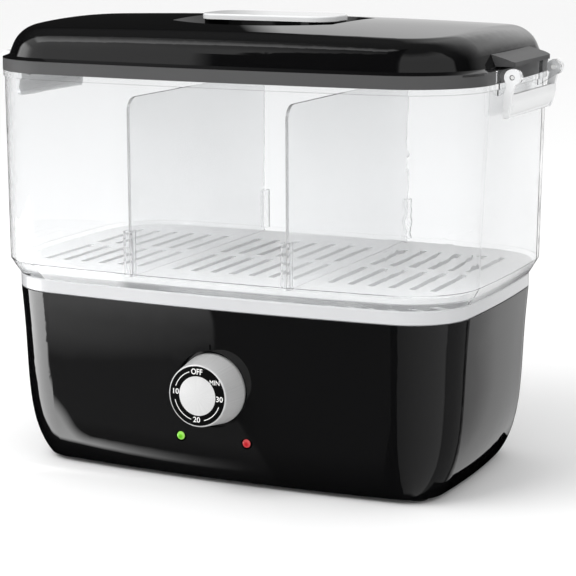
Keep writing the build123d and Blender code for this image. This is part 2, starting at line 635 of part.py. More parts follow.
# Floor grid: a slotted plate that rests on the ledge inside the flare and lets the steam through
grid_top = floor_under + floor_thick
with BuildPart() as floor_grid:
    grid_inset = bin_wall + 2 * fit_gap
    extrude(flare_outline(floor_under, grid_inset), floor_thick)
    side_columns = int((flare_length / 2 - slot_end_margin) / slot_pitch)
    columns = [slot_pitch * n for n in range(-side_columns, side_columns + 1)]
    open_columns = [x for x in columns if abs(abs(x) - divider_x) > slot_width / 2 + divider_thick]
    slot_outer = flare_depth / 2 - slot_side_margin
    slot_y = (slot_outer + slot_middle) / 2
    with BuildSketch(Plane.XY.offset(floor_under)):
        with Locations([(x, side * slot_y) for x in open_columns for side in ends]):
            Rectangle(slot_width, slot_outer - slot_middle)
    extrude(amount=floor_thick, mode=Mode.SUBTRACT)
save(floor_grid, "floor_grid")

# Dividers: two clear plates with round upper corners that stand between the guide rails
divider_half = flare_depth / 2 - divider_front_gap
divider_lean = (bin_depth - flare_depth) / 2
divider_top = bin_top - divider_drop
for name, x in (("divider_left", -divider_x), ("divider_right", divider_x)):
    with BuildPart() as divider:
        with BuildSketch(Plane.YZ.offset(x - divider_thick / 2)):
            with BuildLine():
                Polyline((-divider_half, grid_top), (divider_half, grid_top),
                         (divider_half + divider_lean, divider_top),
                         (-divider_half - divider_lean, divider_top), close=True)
            make_face()
        extrude(amount=divider_thick)
        fillet(divider.edges().filter_by(Axis.X).group_by(Axis.Z)[-1], divider_round)
    save(divider, name)

# Handle pins: a plain pin pressed through each lug, a little short of the ear's outer face
with BuildPart() as handle_pins:
    for end in ends:
        for side in ends:
            with BuildSketch(along_y(end * pivot_x, pivot_height, side * lug_inner)):
                Circle(pin_radius)
            extrude(amount=side * (ear_outer - pin_recess - lug_inner))
save(handle_pins, "handle_pins")

# End handles: two eared cheeks joined by a web that curls in to a rolled lower lip
web_x = pivot_x - grip_wall / 2
grip_top = pivot_height - grip_drop
grip_bottom = grip_top - grip_height
curl_top = grip_top - grip_straight
with BuildPart() as right_handle:
    for side in ends:
        with BuildSketch(Plane.XZ.offset(side * ear_inner)):
            with Locations((pivot_x, pivot_height)):
                Circle(ear_radius)
            with BuildLine():
                Polyline((pivot_x - cheek_width / 2, pivot_height),
                         (pivot_x + cheek_width / 2, pivot_height),
                         (web_x + grip_wall / 2, grip_top), (web_x + grip_wall / 2, curl_top),
                         (web_x - lip_reach + grip_wall, grip_bottom),
                         (web_x - lip_reach - grip_wall / 2, grip_bottom),
                         (web_x - cheek_width + grip_wall / 2, grip_top), close=True)
            make_face()
            with Locations((pivot_x, pivot_height)):
                Circle(pin_radius + pin_gap, mode=Mode.SUBTRACT)
        extrude(amount=side * ear_thick)
    with BuildSketch(Plane.XZ.offset(-ear_inner)):
        with BuildLine():
            Line((web_x, grip_top), (web_x, curl_top))
            TangentArc((web_x, curl_top), (web_x - lip_reach, grip_bottom + lip_radius),
                       tangent=(0, -1))
        trace(line_width=grip_wall)
        with Locations((web_x - lip_reach, grip_bottom + lip_radius)):
            Circle(lip_radius)
    extrude(amount=2 * ear_inner)
    # Seen from the end, the lower corners are round
    with BuildSketch(Plane.YZ.offset(pivot_x)) as end_view:
        with Locations((0, (pivot_height + grip_bottom) / 2)):
            Rectangle(2 * ear_outer, pivot_height - grip_bottom + 4 * ear_radius)
        with Locations((0, grip_bottom - ear_radius)):
            Rectangle(2 * (ear_outer + ear_radius), 2 * ear_radius, mode=Mode.SUBTRACT)
        fillet(end_view.vertices().group_by(Axis.Z)[0], handle_corner)
    extrude(amount=grip_height, both=True, mode=Mode.INTERSECT)
save(right_handle, "right_handle")

with BuildPart() as left_handle:
    add(mirror(right_handle.part, about=Plane.YZ, mode=Mode.PRIVATE))
save(left_handle, "left_handle")


def lid_dome(bottom, inset, thinner):
    """The lid's leaning sides under its crowned top, drawn in by a wall's thickness."""
    top = crown_top - thinner
    reach = lid_length / 2 + crown_margin
    end_drop = reach**2 / (2 * crown_radius_end)
    with BuildPart() as crown:
        with BuildSketch(Plane.XZ):
            with BuildLine():
                ThreePointArc((-reach, top - end_drop), (0, top), (reach, top - end_drop))
                Polyline((reach, top - end_drop), (reach, bottom - crown_skirt),
                         (-reach, bottom - crown_skirt), (-reach, top - end_drop))
            make_face()
        revolve(axis=Axis((0, 0, top - crown_radius_side), (1, 0, 0)))
    with BuildPart() as dome:
        rise = top + dome_spare - bottom
        loft([lid_outline(bottom, inset),
              lid_outline(bottom + rise, inset + side_lean * rise)], ruled=True)
        add(crown.part, mode=Mode.INTERSECT)
        fillet(dome.faces().sort_by(Axis.Z)[-1].edges(), shoulder_round - thinner)
    return dome.part


def lid_body(grow):
    """The lid's outside as a solid, band, ledge and dome, grown all round by a clearance."""
    with BuildPart() as body:
        extrude(lid_outline(bin_top, -grow), band_height + grow)
        loft([lid_outline(band_top + grow, -grow), lid_outline(ledge_top + grow, ledge_width - grow)],
             ruled=True)
        add(lid_dome(ledge_top, ledge_width - grow, -grow))
    return body.part


def recess_block(grow):
    """The lid's dished recess as a solid, grown by a wall's thickness."""
    low = recess_floor - grow
    high = crown_top + recess_spare
    with BuildPart() as block:
        loft([bowed_outline(low, recess_length - 2 * recess_slope + 2 * grow,
                            recess_depth - 2 * recess_slope + 2 * grow,
                            recess_corner, recess_bow, recess_end_bow),
              bowed_outline(high, recess_length + 2 * grow, recess_depth + 2 * grow,
                            recess_corner, recess_bow, recess_end_bow)], ruled=True)
    return block.part


# Lid: a black crowned shell over a straight band, with a recess for the fingers in its top
with BuildPart() as lid_void:
    extrude(lid_outline(bin_top, lid_wall), band_height - ledge_height / 2)
    add(lid_dome(band_top - ledge_height, ledge_width + lid_wall, lid_wall))
    add(recess_block(lid_wall), mode=Mode.SUBTRACT)

with BuildPart() as lid_shell:
    add(lid_body(0))
    add(recess_block(0), mode=Mode.SUBTRACT)
    # Notches in the band let the bin's lugs and the handles' ears stand beside the tongues
    for end in ends:
        for side in ends:
            notch_x = end * (notch_inner_x + notch_outer_x) / 2
            with Locations((notch_x, side * (tongue_half + notch_outer) / 2, bin_top)):
                Box(notch_outer_x - notch_inner_x, notch_outer - tongue_half,
                    2 * (band_height + ledge_height), mode=Mode.SUBTRACT)
    add(lid_void.part, mode=Mode.SUBTRACT)
    # Steam vents through the band's upper edge at the four corners
    for end in ends:
        for side in ends:
            vent_place = (end * (lid_length / 2 - vent_from_end),
                          side * (lid_depth / 2 - vent_from_side), band_top)
            with Locations(Location(vent_place, (0, 0, -side * end * vent_turn))):
                Box(*vent_size, align=(Align.CENTER, Align.CENTER, Align.MAX),
                    mode=Mode.SUBTRACT)
    # Two pedestals carry the grip bar
    with BuildSketch(Plane.XY.offset(recess_floor - lid_wall / 2)):
        with GridLocations(2 * pedestal_x, 0, 2, 1):
            RectangleRounded(*pedestal_size, pedestal_round)
    extrude(amount=bar_level - recess_floor + lid_wall / 2)
    with BuildSketch(Plane.XY.offset(bar_level)):
        with GridLocations(2 * pedestal_x, 0, 2, 1):
            Circle(peg_radius + fit_gap / 2)
    extrude(amount=-peg_length - fit_gap, mode=Mode.SUBTRACT)
    with BuildSketch(Plane.XY.offset(recess_floor - lid_wall)):
        with GridLocations(2 * pedestal_x, 0, 2, 1):
            Circle(bar_screw_radius + fit_gap)
    extrude(amount=bar_level - recess_floor, mode=Mode.SUBTRACT)
save(lid_shell, "lid_shell")

# Lid tongues: a thin visor on each end of the lid, between the lugs, that a hand lifts the lid by.
# Each stands out from the dome just above the ledge, with an even wall.
tongue_tip = lid_length / 2 + tongue_out
tongue_bottom = ledge_top + tongue_gap


def visor_section(wall):
    """Half-way through a visor: its sloping top over its level underside, thinned by a wall."""
    root_x, nose_x, tip_x = tongue_tip - tongue_root, tongue_tip - tongue_nose, tongue_tip - wall
    root_top, nose_top, tip_top = (ledge_top + rise - wall for rise in tongue_rise)
    with BuildSketch(Plane.XZ) as section:
        with BuildLine():
            Polyline((root_x, tongue_bottom), (root_x, root_top), (nose_x, nose_top),
                     (tip_x, tip_top), (tip_x, tongue_bottom), close=True)
        make_face()
    return section.sketch


with BuildPart() as tongue:
    extrude(visor_section(0), tongue_half, both=True)
    fillet(tongue.edges().filter_by(Axis.Z).group_by(Axis.X)[-1], tongue_round)
    extrude(visor_section(tongue_wall), tongue_half - tongue_wall, both=True, mode=Mode.SUBTRACT)
    add(lid_body(tongue_seat), mode=Mode.SUBTRACT)

with BuildPart() as lid_tongues:
    add(tongue.part)
    add(mirror(tongue.part, about=Plane.YZ, mode=Mode.PRIVATE))
save(lid_tongues, "lid_tongues")

# Grip bar: a flat white plate on two pegs that stand in the pedestals
bar_length = 2 * pedestal_x + pedestal_size[0] + 2 * bar_margin
with BuildPart() as lid_handle:
    with BuildSketch(Plane.XY.offset(bar_level)):
        RectangleRounded(bar_length, bar_depth, bar_corner)
    extrude(amount=bar_thick)
    fillet(lid_handle.edges().group_by(Axis.Z)[-1], bar_edge)
    with BuildSketch(Plane.XY.offset(bar_level)):
        with GridLocations(2 * pedestal_x, 0, 2, 1):
            Circle(peg_radius)
    extrude(amount=-peg_length)
    with BuildSketch(Plane.XY.offset(bar_level - peg_length)):
        with GridLocations(2 * pedestal_x, 0, 2, 1):
            Circle(bar_screw_radius)
    extrude(amount=peg_length + bar_thick / 2, mode=Mode.SUBTRACT)
save(lid_handle, "lid_handle")

with BuildPart() as lid_screws:
    with BuildSketch(Plane.XY.offset(recess_floor - lid_wall)):
        with GridLocations(2 * pedestal_x, 0, 2, 1):
            Circle(bar_screw_head)
    extrude(amount=-head_height)
    with BuildSketch(Plane.XY.offset(recess_floor - lid_wall)):
        with GridLocations(2 * pedestal_x, 0, 2, 1):
            Circle(bar_screw_radius - pin_gap)
    extrude(amount=bar_level - recess_floor + lid_wall)
save(lid_screws, "lid_screws")
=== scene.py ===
from math import cos, pi, radians, sin

import bmesh
import bpy
from mathutils import Matrix, Vector


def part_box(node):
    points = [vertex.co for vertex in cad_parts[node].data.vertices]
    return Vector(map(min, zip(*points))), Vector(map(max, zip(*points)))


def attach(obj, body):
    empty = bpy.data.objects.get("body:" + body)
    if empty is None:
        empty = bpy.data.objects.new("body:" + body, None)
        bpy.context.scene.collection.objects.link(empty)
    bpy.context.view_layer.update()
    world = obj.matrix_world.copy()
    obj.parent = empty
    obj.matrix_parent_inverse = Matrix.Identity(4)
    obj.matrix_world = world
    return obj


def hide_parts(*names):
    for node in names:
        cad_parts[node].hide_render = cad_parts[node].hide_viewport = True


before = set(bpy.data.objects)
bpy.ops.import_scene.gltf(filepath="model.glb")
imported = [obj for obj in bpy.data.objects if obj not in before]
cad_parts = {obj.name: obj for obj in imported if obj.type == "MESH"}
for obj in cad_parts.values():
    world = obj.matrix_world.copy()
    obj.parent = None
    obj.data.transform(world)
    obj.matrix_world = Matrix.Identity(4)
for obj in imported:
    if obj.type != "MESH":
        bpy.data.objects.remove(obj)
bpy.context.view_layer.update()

# The studio: a pale paper floor and soft white light all round. The glossy shells mirror a few
# soft panels that stand about the table, and dark and bright card that lies on it in front.
scene = bpy.context.scene
scene.view_settings.view_transform = "Standard"
housing_low, housing_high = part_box("base_housing")
middle_y = (housing_low.y + housing_high.y) / 2


def aim(thing, place, target):
    """Put a camera or a light in its place and turn it to look at a point."""
    thing.location = place
    thing.rotation_euler = (target - place).to_track_quat("-Z", "Y").to_euler()


camera_data = bpy.data.cameras.new("camera")
camera_data.sensor_width = 36.0
camera_data.lens = 128.5
camera_data.shift_x = 0.0179
camera_data.shift_y = -0.0460
camera_data.clip_end = 20.0
camera = bpy.data.objects.new("camera", camera_data)
scene.collection.objects.link(camera)
camera_place = Vector((0.5550, middle_y - 1.1926, 0.3686))
camera_aim = Vector((0.0021, middle_y - 0.0003, 0.1288))
aim(camera, camera_place, camera_aim)
scene.camera = camera


def link(tree, start, end):
    """Join two sockets, each given as (node, socket name or number)."""
    tree.links.new(start[0].outputs[start[1]], end[0].inputs[end[1]])


def math_node(tree, operation, *values, clamp=False):
    """The result of a Math node. Each input is a number or a (node, socket) pair."""
    node = tree.nodes.new("ShaderNodeMath")
    node.operation = operation
    node.use_clamp = clamp
    for place, value in enumerate(values):
        if isinstance(value, tuple):
            link(tree, value, (node, place))
        else:
            node.inputs[place].default_value = value
    return node, 0


def split_axes(tree, vector):
    """The X, the Y and the Z of a vector, each as a (node, socket) pair."""
    parts = tree.nodes.new("ShaderNodeSeparateXYZ")
    link(tree, vector, (parts, 0))
    return (parts, "X"), (parts, "Y"), (parts, "Z")


def open_group(name, inputs, outputs):
    """An empty shader group with its sockets, and its two end nodes."""
    group = bpy.data.node_groups.new(name, "ShaderNodeTree")
    for direction, sockets in (("INPUT", inputs), ("OUTPUT", outputs)):
        for socket, kind, value in sockets:
            made = group.interface.new_socket(socket, in_out=direction, socket_type="NodeSocket" + kind)
            if value is not None:
                made.default_value = value
    return group, group.nodes.new("NodeGroupInput"), group.nodes.new("NodeGroupOutput")


# One soft-edged rectangle of light, over any two coordinates
panel_sockets = ("Left", "Right", "Low", "High", "Soft left", "Soft right", "Soft low", "Soft high",
                 "Strength")
soft_panel, into, out_of = open_group(
    "soft_panel", [(name, "Float", 0.0) for name in ("Across", "Up") + panel_sockets],
    [("Light", "Float", None)])
share = (into, "Strength")
for larger, smaller, soft in (("Across", "Left", "Soft left"), ("Right", "Across", "Soft right"),
                              ("Up", "Low", "Soft low"), ("High", "Up", "Soft high")):
    gap = math_node(soft_panel, "SUBTRACT", (into, larger), (into, smaller))
    part = math_node(soft_panel, "DIVIDE", gap, (into, soft), clamp=True)
    share = math_node(soft_panel, "MULTIPLY", share, part)
link(soft_panel, share, (out_of, "Light"))


def add_panels(tree, across, up, rows, total):
    """A light level with soft panels added to it, each a row in the order of panel_sockets."""
    for row in rows:
        node = tree.nodes.new("ShaderNodeGroup")
        node.node_tree = soft_panel
        link(tree, across, (node, "Across"))
        link(tree, up, (node, "Up"))
        for name, value in zip(panel_sockets, row):
            node.inputs[name].default_value = value
        total = math_node(tree, "ADD", total, (node, 0))
    return total


# The surround, in degrees. Azimuth is 0 behind the object (+Y), 90 at its right and 180 or -180
# in front. A row has the four edges, how soft each edge is, and the strength.
world = bpy.data.worlds.new("studio")
world.use_nodes = True
scene.world = world
tree = world.node_tree
tree.nodes.clear()
direction = tree.nodes.new("ShaderNodeTexCoord")
rightward, backward, upward = split_axes(tree, (direction, "Generated"))
azimuth = math_node(tree, "MULTIPLY", math_node(tree, "ARCTAN2", rightward, backward), 180 / pi)
elevation = math_node(tree, "MULTIPLY", math_node(tree, "ARCSINE", upward), 180 / pi)
between_panels = 0.015
overhead = (-135, 181, 22, 95, 10, 1, 35, 1, 0.13)
behind_low = (-26.3, 22, -12, 26, 1.2, 20, 4, 12, 0.85)
behind_high = (-26, 60, 6, 64, 16, 50, 14, 16, 0.85)
front_left = (-148, -78, 19, 72, 2, 5, 4, 26, 0.98)
left_card = (-114, -78, 12, 28, 14, 5, 3, 8, 2.6)
right_card = (82, 178, 16, 72, 4, 4, 6, 16, 0.72)
right_table = (84, 235, -80, 4, 5, 150, 5, 5, 0.80)
right_dim = (35, 86, -80, 2, 4, 3, 5, 5, 0.28)
right_end = (-9, 34, -70, -2, 12, 16, 5, 6, 0.95)
panels = (overhead, behind_low, behind_high, front_left, left_card, right_card, right_table,
          right_dim, right_end)
light = add_panels(tree, azimuth, elevation, panels, between_panels)
# A card over the front left whose edge leans, seen as the lighter border along the lid's flank
leaning_card = (-67, -30, 38, 80, 5, 30, 4, 5, 1.9)
leaning = math_node(tree, "ADD", azimuth, elevation)
light = add_panels(tree, leaning, elevation, (leaning_card,), light)
# Only mirror rays meet the panels. All other rays meet plain white, also through clear plastic.
mirrored = tree.nodes.new("ShaderNodeBackground")
link(tree, light, (mirrored, "Strength"))
plain = tree.nodes.new("ShaderNodeBackground")
plain.inputs["Color"].default_value = (1.0, 1.0, 1.0, 1.0)
path = tree.nodes.new("ShaderNodeLightPath")
mirrored_ray = math_node(tree, "SUBTRACT", (path, "Is Glossy Ray"),
                         (path, "Is Transmission Ray"), clamp=True)
choose = tree.nodes.new("ShaderNodeMixShader")
link(tree, mirrored_ray, (choose, 0))
link(tree, (plain, 0), (choose, 1))
link(tree, (mirrored, 0), (choose, 2))
world_out = tree.nodes.new("ShaderNodeOutputWorld")
link(tree, (choose, 0), (world_out, "Surface"))


def new_material(name):
    """A node material and its Principled shader."""
    material = bpy.data.materials.new(name)
    material.use_nodes = True
    return material, material.node_tree, material.node_tree.nodes["Principled BSDF"]


def surface_coordinates(tree):
    """Where a point lies on the piece, in metres."""
    return tree.nodes.new("ShaderNodeTexCoord"), "Object"


def mix_colours(tree, share, first, second):
    """A blend of two colours, each an RGB tuple or a (node, socket) pair."""
    blend = tree.nodes.new("ShaderNodeMix")
    blend.data_type = "RGBA"
    link(tree, share, (blend, 0))
    for socket, value in ((6, first), (7, second)):
        if len(value) == 3:
            blend.inputs[socket].default_value = (*value, 1.0)
        else:
            link(tree, value, (blend, socket))
    return blend, 2


def new_piece(name, mesh, body=None, material=None):
    """Put a finished mesh in the scene as one object that moves with a body."""
    piece = bpy.data.objects.new(name, mesh)
    scene.collection.objects.link(piece)
    if material is not None:
        mesh.materials.clear()
        mesh.materials.append(material)
    if body is not None:
        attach(piece, body)
    return piece


reach = 6.0
floor_mesh = bpy.data.meshes.new("floor")
floor_mesh.from_pydata([(-reach, -reach, 0), (reach, -reach, 0), (reach, reach, 0), (-reach, reach, 0)],
                       [], [(0, 1, 2, 3)])
paper, tree, shader = new_material("paper")
fibres = tree.nodes.new("ShaderNodeTexNoise")
fibres.inputs["Scale"].default_value = 3.0
paper_tone = mix_colours(tree, (fibres, "Fac"), (0.93, 0.93, 0.93), (0.96, 0.96, 0.96))
link(tree, paper_tone, (shader, "Base Color"))
shader.inputs["Roughness"].default_value = 0.9
shader.inputs["Specular IOR Level"].default_value = 0.1
floor = new_piece("floor", floor_mesh, material=paper)
floor.visible_glossy = False

# Card on the table, seen only in the glossy front: near-black under and before the object,
# lighter far out at the left, and bright in a curved band that runs in under the front edge
card_height = 0.0006
card_outline = ((-1.1, -0.62), (0.030, -0.62), (0.108, -0.0755), (0.150, -0.060),
                (0.150, 0.095), (-1.1, 0.095))
card_mesh = bpy.data.meshes.new("table_card")
card_mesh.from_pydata([(*corner, card_height) for corner in card_outline],
                      [], [tuple(range(len(card_outline)))])
card_paper, tree, shader = new_material("card_paper")
tree.nodes.remove(shader)
x, y, _ = split_axes(tree, surface_coordinates(tree))
# Its left half is lighter, up to a leaning edge, and grows brighter away from the object. The
# two rows have the four edges, how soft each edge is, and the strength, as the panels do.
dark_card = 0.07
left_half = (-3.0, -0.142, -3.0, 3.0, 0.004, 0.004, 0.01, 0.01, 0.13)
far_left = (-3.0, -0.142, -3.0, -0.372, 0.004, 0.004, 0.01, 0.10, 0.98)
edge_turns_at, edge_lean, away_lean = 0.366, -0.63, 0.45
lit_before_y, front_softness = -0.074, 0.05
leaned = math_node(tree, "MULTIPLY", math_node(tree, "ADD", y, edge_turns_at), edge_lean)
from_edge = math_node(tree, "ADD", x, leaned)
away = math_node(tree, "ADD", y, math_node(tree, "MULTIPLY", x, away_lean))
in_front = math_node(tree, "SUBTRACT", lit_before_y, y, clamp=True)
in_front = math_node(tree, "MULTIPLY", in_front, 1 / front_softness, clamp=True)
flat_light = add_panels(tree, from_edge, away, (left_half, far_left), dark_card)
flat_light = math_node(tree, "MULTIPLY", flat_light, in_front)
# The bright band lies between an inner and an outer edge, and fades out to the right. Its edges
# follow lines, each given by its slope and by its y where x is 0.
far_line, near_line, outer_line = (0.60, -0.058), (0.97, 0.0162), (-0.24, -0.155)
nearest_inner, nearest_outer = -0.098, -0.084
bend_softness, end_softness = 0.03, 0.02
inner_softness, outer_softness = 0.012, 0.004
fade_x, fade_width, fade_power = 0.03, 0.13, 2.0
band_strength = 5.0
inner_edge = math_node(tree, "SMOOTH_MAX", math_node(tree, "MULTIPLY_ADD", x, *far_line),
                       math_node(tree, "MULTIPLY_ADD", x, *near_line), bend_softness)
inner_edge = math_node(tree, "SMOOTH_MIN", inner_edge, nearest_inner, end_softness)
outer_edge = math_node(tree, "MULTIPLY_ADD", x, *outer_line)
outer_edge = math_node(tree, "MAXIMUM", outer_edge, nearest_outer)
past_inner = math_node(tree, "SUBTRACT", y, inner_edge)
past_inner = math_node(tree, "DIVIDE", past_inner, inner_softness, clamp=True)
before_outer = math_node(tree, "SUBTRACT", outer_edge, y)
before_outer = math_node(tree, "DIVIDE", before_outer, outer_softness, clamp=True)
fade = math_node(tree, "DIVIDE", math_node(tree, "SUBTRACT", fade_x, x), fade_width, clamp=True)
fade = math_node(tree, "POWER", fade, fade_power)
band = math_node(tree, "MULTIPLY", math_node(tree, "MULTIPLY", past_inner, before_outer), fade)
band_light = math_node(tree, "MULTIPLY", band, band_strength)
glow = tree.nodes.new("ShaderNodeEmission")
link(tree, math_node(tree, "ADD", flat_light, band_light), (glow, "Strength"))
link(tree, (glow, 0), (tree.nodes["Material Output"], "Surface"))
card = new_piece("table_card", card_mesh, material=card_paper)
for ray in ("camera", "diffuse", "transmission", "volume_scatter", "shadow"):
    setattr(card, "visible_" + ray, False)

key_data = bpy.data.lights.new("key", "AREA")
key_data.shape = "RECTANGLE"
key_data.size, key_data.size_y = 1.2, 1.2
key_data.energy = 18.0
key = bpy.data.objects.new("key", key_data)
scene.collection.objects.link(key)
aim(key, Vector((-0.7, -1.0, 1.5)), Vector((0, 0, 0.12)))
key.visible_glossy = False

# Base housing: injection moulded in black ABS and polished to a gloss. It stands on its own rim,
# with a round well for the knob and two lamp holes in the front wall.
moulded, into, out_of = open_group(
    "moulded_surface",
    [("Vector", "Vector", None), ("Cloud scale", "Float", 18.0), ("Grain scale", "Float", 900.0)],
    [("Cloud", "Float", None), ("Grain", "Float", None)])
for mask, detail in (("Cloud", 3.0), ("Grain", 2.0)):
    noise = moulded.nodes.new("ShaderNodeTexNoise")
    noise.inputs["Detail"].default_value = detail
    link(moulded, (into, "Vector"), (noise, "Vector"))
    link(moulded, (into, mask + " scale"), (noise, "Scale"))
    link(moulded, (noise, "Fac"), (out_of, mask))


def moulded_texture(tree, cloud_scale, grain_scale):
    """The moulded surface's masks, placed in a material at its own scales."""
    texture = tree.nodes.new("ShaderNodeGroup")
    texture.node_tree = moulded
    link(tree, surface_coordinates(tree), (texture, "Vector"))
    texture.inputs["Cloud scale"].default_value = cloud_scale
    texture.inputs["Grain scale"].default_value = grain_scale
    return texture


def between(tree, share, low, high):
    """A number that runs from low to high with a mask."""
    spread = tree.nodes.new("ShaderNodeMapRange")
    link(tree, share, (spread, 0))
    spread.inputs["To Min"].default_value = low
    spread.inputs["To Max"].default_value = high
    return spread, 0


def bumped(tree, shader, height, depth):
    """Raise a height mask off the surface by a depth in metres."""
    bump = tree.nodes.new("ShaderNodeBump")
    bump.inputs["Strength"].default_value = 1.0
    bump.inputs["Distance"].default_value = depth
    link(tree, height, (bump, "Height"))
    link(tree, (bump, 0), (shader, "Normal"))


def moulded_plastic(name, dark, light, roughness, cloud_scale, grain_scale, depth, **plain_values):
    """Moulded plastic: two close tones, a roughness that drifts, and a fine grain.

    Each of plain_values goes on the shader's own socket of that name.
    """
    material, tree, shader = new_material(name)
    texture = moulded_texture(tree, cloud_scale, grain_scale)
    link(tree, mix_colours(tree, (texture, "Cloud"), dark, light), (shader, "Base Color"))
    link(tree, between(tree, (texture, "Cloud"), *roughness), (shader, "Roughness"))
    bumped(tree, shader, (texture, "Grain"), depth)
    for socket, value in plain_values.items():
        shader.inputs[socket.replace("_", " ")].default_value = value
    return material


def finish_nodes(material, *names):
    """Give carried-over CAD pieces their material."""
    for name in names:
        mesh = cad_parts[name].data
        mesh.materials.clear()
        mesh.materials.append(material)


polished_black = moulded_plastic("polished_black", (0.0026, 0.0026, 0.0028),
                                 (0.0038, 0.0038, 0.004),
                                 roughness=(0.02, 0.045), cloud_scale=14.0, grain_scale=500.0,
                                 depth=5e-7)
finish_nodes(polished_black, "base_housing")

# The knob's index: a short black strip on the front wall, just above the well, that is painted shade of
# a small slot engraved there. Its four corners are found on the wall, and it is sunk into it by twice
# what it stands proud.
mark_width, mark_low, mark_high, mark_proud = 0.0010, 0.0890, 0.0924, 0.00012
mark_thick, before_wall = 3 * mark_proud, -0.3
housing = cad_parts["base_housing"]
outer = []
for side, z in ((-1, mark_low), (1, mark_low), (1, mark_high), (-1, mark_high)):
    start = Vector((side * mark_width / 2, before_wall, z))
    wall = housing.ray_cast(start, Vector((0, 1, 0)))[1]
    outer.append(wall - Vector((0, mark_proud, 0)))
inner = [corner + Vector((0, mark_thick, 0)) for corner in outer]
sides = [(k, k + 4, (k + 1) % 4 + 4, (k + 1) % 4) for k in range(4)]
mark_mesh = bpy.data.meshes.new("index_mark")
mark_mesh.from_pydata(outer + inner, [], [(0, 1, 2, 3), (7, 6, 5, 4), *sides])
# Matt black for the index strip, the lamp collars and the pin rings, which stand in whole or in part
# for painted shade
black_and_painted_shade = moulded_plastic("black_and_painted_shade", (0.001, 0.001, 0.001), (0.0015, 0.0015, 0.0015),
                            roughness=(0.6, 0.75), cloud_scale=200.0, grain_scale=3000.0,
                            depth=4e-6, Specular_IOR_Level=0.05)
new_piece("index_mark", mark_mesh, "base", black_and_painted_shade)

# Bottom plate: a matt black moulding with a spark-eroded grain, held up by plated steel screws.
# Four moulded rubber pads are pushed into it. The cord's gland in the rear wall is of the same
# black plastic, pressed in from outside.
spark_black = moulded_plastic("spark_black", (0.016, 0.016, 0.017), (0.026, 0.026, 0.027),
                              roughness=(0.5, 0.65), cloud_scale=60.0, grain_scale=1600.0,
                              depth=3e-5)
finish_nodes(spark_black, "bottom_plate", "cord_gland")
foot_rubber = moulded_plastic("foot_rubber", (0.012, 0.012, 0.012), (0.022, 0.021, 0.021),
                              roughness=(0.7, 0.9), cloud_scale=120.0, grain_scale=2500.0,
                              depth=2e-5)
finish_nodes(foot_rubber, "rubber_feet")


def plated_metal(name, dark, light, roughness, stretch, depth):
    """Metal with fine marks drawn out along one axis of the piece."""
    material, tree, shader = new_material(name)
    turned = tree.nodes.new("ShaderNodeMapping")
    link(tree, surface_coordinates(tree), (turned, "Vector"))
    turned.inputs["Scale"].default_value = stretch
    streaks = tree.nodes.new("ShaderNodeTexNoise")
    streaks.inputs["Scale"].default_value = 1.0
    streaks.inputs["Detail"].default_value = 4.0
    link(tree, (turned, 0), (streaks, "Vector"))
    link(tree, mix_colours(tree, (streaks, "Fac"), dark, light), (shader, "Base Color"))
    link(tree, between(tree, (streaks, "Fac"), *roughness), (shader, "Roughness"))
    shader.inputs["Metallic"].default_value = 1.0
    bumped(tree, shader, (streaks, "Fac"), depth)
    return material


zinc = plated_metal("zinc_plate", (0.50, 0.51, 0.53), (0.66, 0.66, 0.64),
                    roughness=(0.22, 0.38), stretch=(500.0, 500.0, 900.0), depth=1e-5)
finish_nodes(zinc, "base_screws")

# Reservoir: one white polypropylene moulding that hangs in the housing's mouth by its rim. The
# rim is the bright ring between base and bin, and the basin inside it holds the water.
gloss_white = moulded_plastic("gloss_white", (0.56, 0.565, 0.575), (0.60, 0.605, 0.615),
                              roughness=(0.12, 0.2), cloud_scale=22.0, grain_scale=700.0,
                              depth=2e-6)
finish_nodes(gloss_white, "water_reservoir")

# Heater: an aluminium casting, brushed on top, that closes the basin's floor on a grey silicone
# gasket. A steel clamp and four screws hold it from below. A bent, plated tube with a flat face
# lies against its underside, beside an overheat switch.
cast_metal = plated_metal("cast_metal", (0.52, 0.53, 0.54), (0.72, 0.73, 0.74),
                          roughness=(0.25, 0.45), stretch=(160.0, 2400.0, 160.0), depth=1.5e-5)
finish_nodes(cast_metal, "heater_plate")
element_tube = plated_metal("element_tube", (0.36, 0.34, 0.31), (0.52, 0.50, 0.46),
                            roughness=(0.3, 0.5), stretch=(300.0, 300.0, 1200.0), depth=1e-5)
finish_nodes(element_tube, "heating_element")
silicone = moulded_plastic("silicone", (0.42, 0.42, 0.42), (0.52, 0.52, 0.51),
                           roughness=(0.45, 0.6), cloud_scale=80.0, grain_scale=1800.0,
                           depth=1e-5)
finish_nodes(silicone, "heater_gasket")
finish_nodes(zinc, "heater_screws", "heater_clamp", "thermal_cutout")

# Timer: a clockwork in a closed black case, screwed up behind the front wall. Its plated steel
# shaft comes out through the wall and carries the knob.
finish_nodes(spark_black, "timer_body")
finish_nodes(zinc, "timer_screws", "timer_shaft")

# Knob: a tapered plastic cup in satin silver paint, with a gloss black dial ring and a domed
# centre cap pressed into its face. The scale is printed in white.
knob_low, knob_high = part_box("timer_knob")
knob_z = (knob_low.z + knob_high.z) / 2
dial_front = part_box("dial_ring")[0].y


